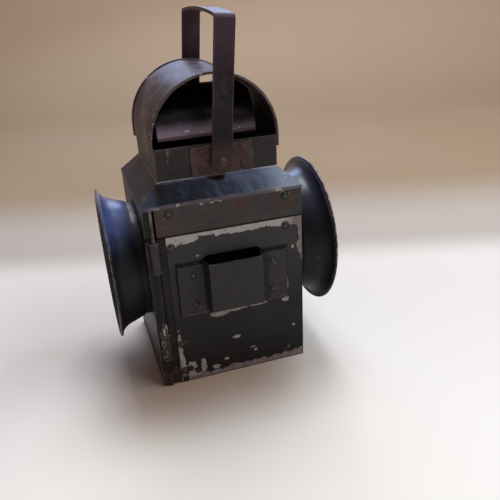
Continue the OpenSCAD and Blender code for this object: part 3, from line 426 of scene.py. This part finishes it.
def roof_material():
    s = sheet_paint("roof", srgb(19, 17, 24), srgb(26, 23, 28), 0.22, 91, dents=0.55, grime=0.3, dust=0.12, tint=0.5)
    # worn eaves and corners
    inward = s.least(roof[1].x - abs(s.x), roof[1].y - abs(s.y))
    chips(s, s.near(inward, 0.2, 0.9, 7, 93) * s.cloud(0, 0.3, 20, 2, 0.5, 95), CHIP, 0.5)
    s.layer(s.near(inward, 0.5, 1.2, 14, 97) * 0.4, PINK_GREY, 0.5)
    # painted reflection: the roof's left end bluish grey, as the sky shows in its left slope
    s.layer(s.step(s.x, -58, -66) * 0.7, srgb(60, 62, 78), 0.45)
    worn = s.patches([(68, -60, 7, 5), (60, -48, 3, 8), (70, -40, 2, 10), (-70, -58, 3, 5)], 0.9, 4, 96, up=s.y)
    chips(s, worn * s.cloud(0, 0.25, 2.2, 4, 0.65, 98), CHIP, 0.4)
    # the seam at the neck's foot
    seam = s.most(abs(s.x) - neck[1].x, abs(s.y) - neck[1].y)
    s.layer(s.near(seam, 1.6, 1.5, 10, 99) * 0.5, MAUVE, 0.5)
    s.layer(s.near(seam, 0.7, 0.5, 12, 90) * 0.8, srgb(150, 142, 150), 0.4)
    s.layer(s.flecks(2.2, 0, 91) * 0.6, PALE, 0.5)
    s.coat = s.step(s.x + s.noise(24, 3, 0.5, 92) * 14, 24, 66) * 0.8 + 0.05
    return s.done(Specular_Tint=SKY_TINT, Specular_IOR_Level=0.42, Coat_Roughness=0.16)


def neck_material():
    s = sheet_paint("neck", srgb(26, 24, 25), srgb(35, 30, 28), 0.45, 101, dents=0.4, grime=0.4, dust=0.3)
    s.layer(s.near(s.z - neck[0].z, 1.4, 1.6, 10, 103) * 0.5, PINK_GREY, 0.6)
    s.layer(s.near(neck[1].z - s.z, 1.2, 1, 8, 105) * 0.6, MAUVE, 0.5)
    s.layer(s.cloud(0, 0.45, 15, 5, 0.6, 107, stretch=(1, 1, 1.6)) * 0.6, srgb(70, 54, 46), 0.6)
    s.layer(s.cloud(0.1, 0.5, 7, 4, 0.65, 109, stretch=(2.5, 2.5, 0.7)) * 0.5, srgb(62, 58, 55), 0.5)
    s.layer(s.near(neck[1].x - abs(s.x), 1.2, 1, 10, 110) * 0.6, srgb(84, 74, 72), 0.5)
    streaks = s.cloud(0.1, 0.4, 3.5, 4, 0.6, 108, stretch=(1, 1, 5))
    s.layer(streaks * s.step(s.x, -36, -52) * 0.85, PALE, 0.5)
    inside = s.step(s.most(abs(s.x) - neck[1].x, abs(s.y) - neck[1].y), -0.5, -0.9)
    s.layer(inside * 0.8, DARK_RUST, 0.75)
    return s.done(Specular_IOR_Level=0.28)


def dome_material():
    s = sheet_paint("dome", srgb(94, 79, 79), srgb(72, 61, 66), 0.45, 111, dents=0.7, grime=0.3, dust=0.3)
    s.layer(s.step(s.x, -34, -58) * s.step(s.z, 268, 240) * 0.6, srgb(74, 59, 50), 0.45)
    s.layer(s.cloud(0.1, 0.5, 18, 5, 0.7, 115) * 0.5, srgb(38, 31, 33), 0.45)
    # the wired rims, and painted shade in the groove behind each
    rim = DOME_RIM - abs(s.y)
    s.layer(s.near(rim, 2.6, 1.2, 10, 113) * 0.7, srgb(88, 75, 72), 0.42)
    s.layer(s.near(abs(rim - 4.6), 0.7, 0.6, 12, 114) * 0.7, srgb(26, 21, 22), 0.5)
    # light and dark mottling, from coarse to fine
    s.layer(s.cloud(-0.05, 0.35, 24, 5, 0.7, 116, stretch=(1, 1.6, 1)) * 0.7, srgb(136, 120, 120), 0.5)
    s.layer(s.cloud(0, 0.35, 11, 5, 0.7, 118) * 0.6, srgb(42, 33, 35), 0.5)
    s.layer(s.cloud(0.15, 0.4, 4, 5, 0.7, 112) * 0.4, srgb(120, 106, 106), 0.5)
    s.layer(s.flecks(2.4, 0.24, 111, 12) * 0.9, srgb(206, 198, 200), 0.5)
    s.layer(s.near(s.z - dome[0].z, 0.8, 1.2, 8, 117) * 0.6, RUST, 0.7)
    # the sooty inside, measured from the barrel's own axis
    axis = dome[1].z - dome[1].x
    r = s.length(s.x, s.most(s.z - axis, 0.0))
    inside = s.step(r, DOME_INSIDE, DOME_INSIDE - 0.3) * s.step(abs(s.y), dome[1].y - 1, dome[1].y - 3)
    s.layer(inside * 0.92, srgb(30, 22, 20), 0.5)
    s.layer(inside * s.cloud(0, 0.4, 12, 4, 0.6, 119) * s.step(s.x, 10, 40) * 0.7, srgb(66, 40, 30), 0.6)
    return s.done(Specular_Tint=DUSK_TINT, Specular_IOR_Level=0.25)


def cowl_material():
    s = sheet_paint("cowl", srgb(15, 12, 13), srgb(10, 9, 9), 0.32, 121, dents=0.6, grime=0.3, dust=0.1, tint=0.2)
    # the pale band that its lower part reflects, with a few glints in it
    low = s.step(s.z + s.noise(18, 3, 0.5, 125) * 3 + s.step(s.x, 0, 24) * 4, 263, 247)
    s.layer(low * s.blend(s.step(s.x, 4, 16), 0.9, 0.6), srgb(178, 156, 178), 0.15)
    glints = s.patches([(-23, 252, 2.6, 0.6), (-9, 250, 0.9, 0.5), (19, 251.5, 1.3, 0.5), (27, 250, 0.9, 0.5)],
                       0.5, 2, 128)
    s.layer(glints, srgb(224, 216, 226), 0.3)
    s.raise_by(low * s.noise(9, 2, 0.5, 126) * 0.35)
    s.layer(s.near(s.z - COWL_EDGE, 3.4, 2, 14, 123) * 0.75, srgb(96, 52, 60), 0.35)
    s.layer(s.cloud(0, 0.5, 11, 4, 0.6, 127) * 0.35, srgb(58, 40, 48), 0.3)
    # pale flecks in the lower band, painted glints
    s.layer(s.flecks(2, 0.02, 121) * s.step(s.z, 262, 254) * 0.8, CHIP, 0.5)
    return s.done(Specular_IOR_Level=0.3)


def iron_material():
    s = sheet_paint("rusty_plate", srgb(82, 54, 52), srgb(62, 43, 42), 0.5, 131, dents=0.15, grime=0.3, dust=0.25)
    s.layer(s.cloud(-0.05, 0.4, 10, 5, 0.7, 133) * 0.6, srgb(66, 40, 36), 0.7, up=0.04)
    s.layer(s.step(s.x, 10, 32) * 0.4, srgb(74, 42, 38), 0.65)
    s.layer(s.cloud(0.1, 0.4, 6, 5, 0.7, 134) * 0.6, srgb(38, 28, 29), 0.6)
    s.layer(s.cloud(0.2, 0.45, 5, 5, 0.7, 132) * 0.6, srgb(104, 74, 70), 0.6)
    s.layer(s.cloud(0.2, 0.5, 4, 4, 0.7, 135) * 0.35, PINK_GREY, 0.6)
    rim = s.near(s.rect(*irons), 0.5, 0.7, 5, 137)
    s.layer(rim * s.cloud(0, 0.35, 8, 3, 0.6, 136) * 0.6, PALE, 0.55)
    ring = s.near(abs(from_rivets(s, IRON_RIVETS) - RIVET_DIRT), 0.6, 0.6, 4, 139)
    s.layer(ring * 0.4, srgb(36, 26, 26), 0.6)
    hub = s.length(s.x - PIVOT_X, s.z - PIVOT_Z)
    s.layer(s.near(abs(hub - 3.2), 0.5, 0.4, 3, 138) * 0.8, srgb(22, 17, 17), 0.5, up=-0.15)
    return s.done(Specular_IOR_Level=0.3)


def handle_material():
    s = sheet_paint("handle", srgb(22, 17, 25), srgb(30, 23, 29), 0.36, 141, dents=0.2, grime=0.3, dust=0.3)
    top, up = s.step(s.z, handle[1].z - 14, handle[1].z - 3), s.z - PIVOT_Z
    # a painted highlight on the top bend, lighter and a little metallic
    s.layer(top * s.cloud(-0.3, 0.3, 10, 4, 0.6, 143) * 0.8, srgb(104, 94, 98), 0.3, 0.35)
    s.layer(s.cloud(0.12, 0.5, 11, 5, 0.7, 145) * 0.45, DARK_RUST, 0.65)
    # a painted highlight along the strap's edges, following its lean
    across = s.x - PIVOT_X - up * math.tan(HANDLE_LEAN)
    s.layer(s.near(HANDLE_HALF - abs(across), 0.6, 0.7, 9, 147) * 0.75, srgb(92, 78, 84), 0.42)
    s.layer(s.cloud(0, 0.4, 14, 5, 0.65, 148, stretch=(1, 1, 2)) * 0.6, srgb(62, 48, 57), 0.42)
    s.layer(s.cloud(0.15, 0.45, 9, 5, 0.7, 149, stretch=(1, 1, 2.5)) * 0.5, srgb(13, 11, 14), 0.42)
    s.layer(s.flecks(2.4, 0.1, 144) * 0.7, srgb(120, 108, 112), 0.5)
    # mauve towards the top, black towards the foot, and rust at the pivots
    s.layer(s.step(s.z, PIVOT_Z + 60, PIVOT_Z + 118) * 0.75, srgb(74, 54, 64), 0.4)
    s.layer(s.step(s.z, PIVOT_Z + 60, PIVOT_Z + 12) * 0.85, srgb(13, 11, 13), 0.5)
    foot = s.step(s.z + s.noise(9, 4, 0.65, 146) * 6, PIVOT_Z + 24, PIVOT_Z + 8)
    s.layer(foot * 0.65, srgb(66, 46, 45), 0.55)
    s.layer(s.flecks(2.2, 0, 141) * 0.5, PALE, 0.5)
    return s.done(Specular_IOR_Level=0.22)


def hood_material():
    s = sheet_paint("hood", srgb(12, 12, 15), srgb(19, 19, 21), 0.5, 151, dents=0.6, grime=0.15, dust=0.12, tint=0.2)
    # the sky's sheen on the flares' upper part, bluer on the left, and mauve on the collars
    beyond = abs(s.x)
    high = s.step(s.z + s.noise(20, 3, 0.5, 152) * 8, LENS_Z + 26, LENS_Z + 60)
    s.layer(high * s.step(beyond, 83, 88) * 0.9, srgb(38, 42, 60), 0.34)
    highest = s.step(s.z + s.noise(14, 3, 0.5, 150) * 8, LENS_Z + 34, LENS_Z + 62)
    s.layer(highest * s.step(s.x, -83, -87) * 0.9, srgb(78, 92, 142), 0.36)
    s.layer(high * s.step(beyond, 87, 84) * 0.8, srgb(100, 89, 102), 0.5)
    s.layer(s.cloud(0.2, 0.5, 16, 5, 0.7, 157) * 0.2, DUST, 0.5)
    # the worn zone inside the rim, a glint on the right one, and the wired lip itself
    rim = HOOD_R - s.length(s.y, s.z - LENS_Z)
    broken = s.cloud(-0.12, 0.2, 4, 5, 0.7, 158)
    s.layer(s.near(rim, 3.6, 2.6, 6, 159) * broken * 0.65, srgb(104, 88, 94), 0.5)
    upper_right = s.step(s.z, LENS_Z + 20, LENS_Z + 56) * s.step(s.x, -20, 20)
    s.layer(s.near(abs(rim - 3.4), 0.5, 0.7, 9, 156) * upper_right * 0.7, srgb(170, 172, 196), 0.4)
    lip = s.near(HOOD_LIP - beyond, 1, 0.8, 6, 153)
    s.layer(lip * 0.9, s.mix(s.step(s.x, 20, -20), srgb(74, 48, 52), srgb(92, 80, 86)), 0.5)
    bright = s.cloud(-0.1, 0.15, 5, 4, 0.6, 155) * s.step(s.z, LENS_Z - 50, LENS_Z + 20)
    s.layer(lip * bright * 0.9, srgb(158, 144, 150), 0.45)
    s.layer(s.flecks(2.4, 0.03, 151) * 0.8, CHIP, 0.5)
    s.coat = high * 0.6 + 0.03
    return s.done(Specular_Tint=PALE_SKY_TINT, Specular_IOR_Level=0.28, Coat_Roughness=0.3)


def brass_material():
    s = Surface("brass")
    s.base(BRASS, 0.36, 0.9)
    s.layer(s.cloud(-0.2, 0.35, 12, 5, 0.65, 161) * 0.8, srgb(96, 76, 46), 0.5)
    s.layer(s.cloud(0.15, 0.5, 4, 4, 0.7, 163) * 0.6, srgb(60, 48, 34), 0.65, 0.5)
    s.raise_by(s.noise(2, 3, 0.6, 165) * 0.03)
    return s.done()


def tin_material():
    s = Surface("tin")
    s.base(srgb(132, 124, 112), 0.42, 0.6)
    s.layer(s.cloud(-0.2, 0.3, 20, 5, 0.65, 171) * 0.85, srgb(84, 74, 62), 0.6, 0.3)
    s.layer(s.cloud(0.1, 0.45, 7, 4, 0.7, 173) * 0.7, RUST, 0.75, 0.1)
    s.raise_by(s.noise(24, 2, 0.5, 175) * 0.3)
    return s.done()


def cotton_material():
    """A woven wick with a burnt top."""
    s = Surface("cotton")
    s.base(COTTON, 0.95)
    weave = s.math("SINE", s.z * 6) * s.math("SINE", s.y * 6)
    s.layer(s.step(weave, -0.6, 0.6), srgb(176, 164, 138))
    s.raise_by(weave * 0.12)
    s.layer(s.near(wick[1].z - s.z, 2, 1.2, 3, 181), SOOT, 1.0)
    return s.done()


def glass_material():
    """Smeared lens glass. The fine rings come on top of the ones in the mesh."""
    s = Surface("lens_glass")
    s.base(srgb(232, 240, 236), 0.06)
    s.layer(s.cloud(0, 0.5, 22, 4, 0.6, 191) * 0.6, srgb(196, 198, 188), 0.3)
    s.raise_by(s.math("SINE", s.length(s.y, s.z - LENS_Z) * 0.9) * 0.05)
    return s.done(Transmission_Weight=0.9, IOR=1.52)


def dress(material, *nodes):
    for n in nodes:
        mesh = NODES[n].data
        mesh.materials.clear()
        mesh.materials.append(material)


dress(plate_material(), "front_plate")
dress(band_material(), "top_band")
dress(case_material(), "floor_tray", "front_wall", "back_wall", "right_wall", "socket_pan", "door_panel",
      "font_guides")
dress(socket_material(), "lamp_iron_socket")
dress(rivet_material(), "front_rivets", "socket_rivets")
dress(hinge_material(), "hinge_knuckles")
dress(bare_steel(), "hinge_rod", "catch_pivot", "catch_lever", "winder_spindle")
dress(roof_material(), "roof")
dress(neck_material(), "neck")
dress(dome_material(), "vent_dome")
dress(cowl_material(), "inner_cowl")
dress(iron_material(), "handle_plates", "handle_plate_rivets", "handle_spacers", "handle_pivots")
dress(handle_material(), "handle")
dress(hood_material(), "door_hood", "fixed_hood", "door_collar", "fixed_collar")
dress(brass_material(), "door_lens_bezel", "fixed_lens_bezel", "door_lens_retainer", "fixed_lens_retainer",
      "burner", "winder_knob", "filler_cap")
dress(tin_material(), "oil_font")
dress(cotton_material(), "wick")
dress(glass_material(), "door_lens", "fixed_lens")


# ----------------------------------------------------------------- studio

# the camera as fitted to the photo: its place in millimetres, its angles in radians and its lens
EYE = Vector((-128.4, -554.5, 375.1)) / MM
YAW, PITCH, ROLL = 0.300, 0.439, -0.054
LENS, FILM = 41.72, 36


def camera():
    ahead = Vector((math.sin(YAW) * math.cos(PITCH), math.cos(YAW) * math.cos(PITCH), -math.sin(PITCH)))
    level = Vector((math.cos(YAW), -math.sin(YAW), 0))
    upright = level.cross(ahead)
    right = level * math.cos(ROLL) + upright * math.sin(ROLL)
    up = upright * math.cos(ROLL) - level * math.sin(ROLL)
    data = bpy.data.cameras.new("camera")
    data.lens, data.sensor_width = LENS, FILM
    cam = bpy.data.objects.new("camera", data)
    cam.matrix_world = Matrix.Translation(EYE) @ Matrix((right, up, -ahead)).transposed().to_4x4()
    bpy.context.scene.collection.objects.link(cam)
    bpy.context.scene.camera = cam


def area(name, turn, rise, distance, wide, tall, power, colour):
    """A soft lamp that faces the part, turn degrees round from its front to its right and rise degrees up."""
    data = bpy.data.lights.new(name, "AREA")
    data.shape, data.size, data.size_y, data.energy, data.color = "RECTANGLE", wide, tall, power, colour
    lamp = bpy.data.objects.new(name, data)
    turn, rise = math.radians(turn), math.radians(rise)
    way = Vector((math.cos(rise) * math.sin(turn), -math.cos(rise) * math.cos(turn), math.sin(rise)))
    lamp.location = Vector((0, 0, 0.16)) + way * distance
    lamp.rotation_mode = "QUATERNION"
    lamp.rotation_quaternion = way.to_track_quat("Z", "Y")
    lamp.visible_camera = False
    bpy.context.scene.collection.objects.link(lamp)


def floor():
    """A pale floor, square to the camera, that sweeps up into a wall a good way behind the part."""
    front, bend, radius, segments, half, top = -6.0, 1.1, 0.9, 24, 7.0, 3.0
    line = [(front, 0.0), (bend, 0.0)]
    line += [(bend + radius * math.sin(a), radius - radius * math.cos(a))
             for a in (math.pi / 2 * i / segments for i in range(1, segments + 1))]
    line.append((bend + radius, top))
    verts = [(x, y, z) for y, z in line for x in (-half, half)]
    faces = [(2 * i, 2 * i + 1, 2 * i + 3, 2 * i + 2) for i in range(len(line) - 1)]
    mesh = bpy.data.meshes.new("floor")
    mesh.from_pydata(verts, [], faces)
    for p in mesh.polygons:
        p.use_smooth = True
    mesh.materials.append(floor_material())
    sweep = bpy.data.objects.new("floor", mesh)
    sweep.rotation_euler = (0, 0, -YAW)
    bpy.context.scene.collection.objects.link(sweep)


def floor_material():
    """Near white in front with painted light that fades towards the back, tan where it rises, and a painted warm
    shadow in front of the part.
    """
    s = Surface("floor")
    s.base(srgb(255, 249, 240), 0.9)
    # painted light: the floor whitest in front and darker towards the back
    s.layer(s.step(s.y, -420, 160), srgb(224, 217, 208))
    s.layer(s.step(s.y, 165, 265), srgb(182, 171, 159))
    s.layer(s.step(s.y, 300, 560), srgb(153, 129, 101))
    s.layer(s.step(s.y, 1150, 1850), srgb(188, 162, 136))
    # the floor is turned with the camera, and the painted shadow patch is placed along the part's own sides
    ahead = s.y * math.cos(YAW) - s.x * math.sin(YAW)
    aside = s.x * math.cos(YAW) + s.y * math.sin(YAW)
    painted_shadow = s.step(ahead, -185, -72) * s.step(ahead, 30, -40) * s.step(aside, 115, 0) * s.step(aside, -165, -75)
    s.layer(painted_shadow * 0.85, srgb(178, 142, 118))
    s.layer(s.cloud(-0.4, 0.4, 500, 3, 0.5, 201) * 0.06, srgb(200, 188, 176))
    s.raise_by(s.noise(60, 2, 0.5, 203) * 0.05)
    return s.done()


def sky():
    world = bpy.data.worlds.new("studio")
    bpy.context.scene.world = world
    world.use_nodes = True
    background = world.node_tree.nodes["Background"].inputs
    background["Color"].default_value = (1.0, 0.83, 0.69, 1)
    background["Strength"].default_value = 0.20


camera()
floor()
sky()
area("window", 82, 46, 2.0, 1.7, 1.0, 23, (0.84, 0.91, 1.0))
area("window_end", 37, 50, 2.0, 0.4, 0.9, 6, (0.72, 0.84, 1.0))
area("overhead", 162, 67, 2.0, 0.9, 0.9, 25, (0.92, 0.95, 1.0))
area("back_window", 172, 30, 1.6, 0.9, 0.6, 8, (0.48, 0.64, 1.0))
bpy.context.scene.view_settings.view_transform = "Standard"
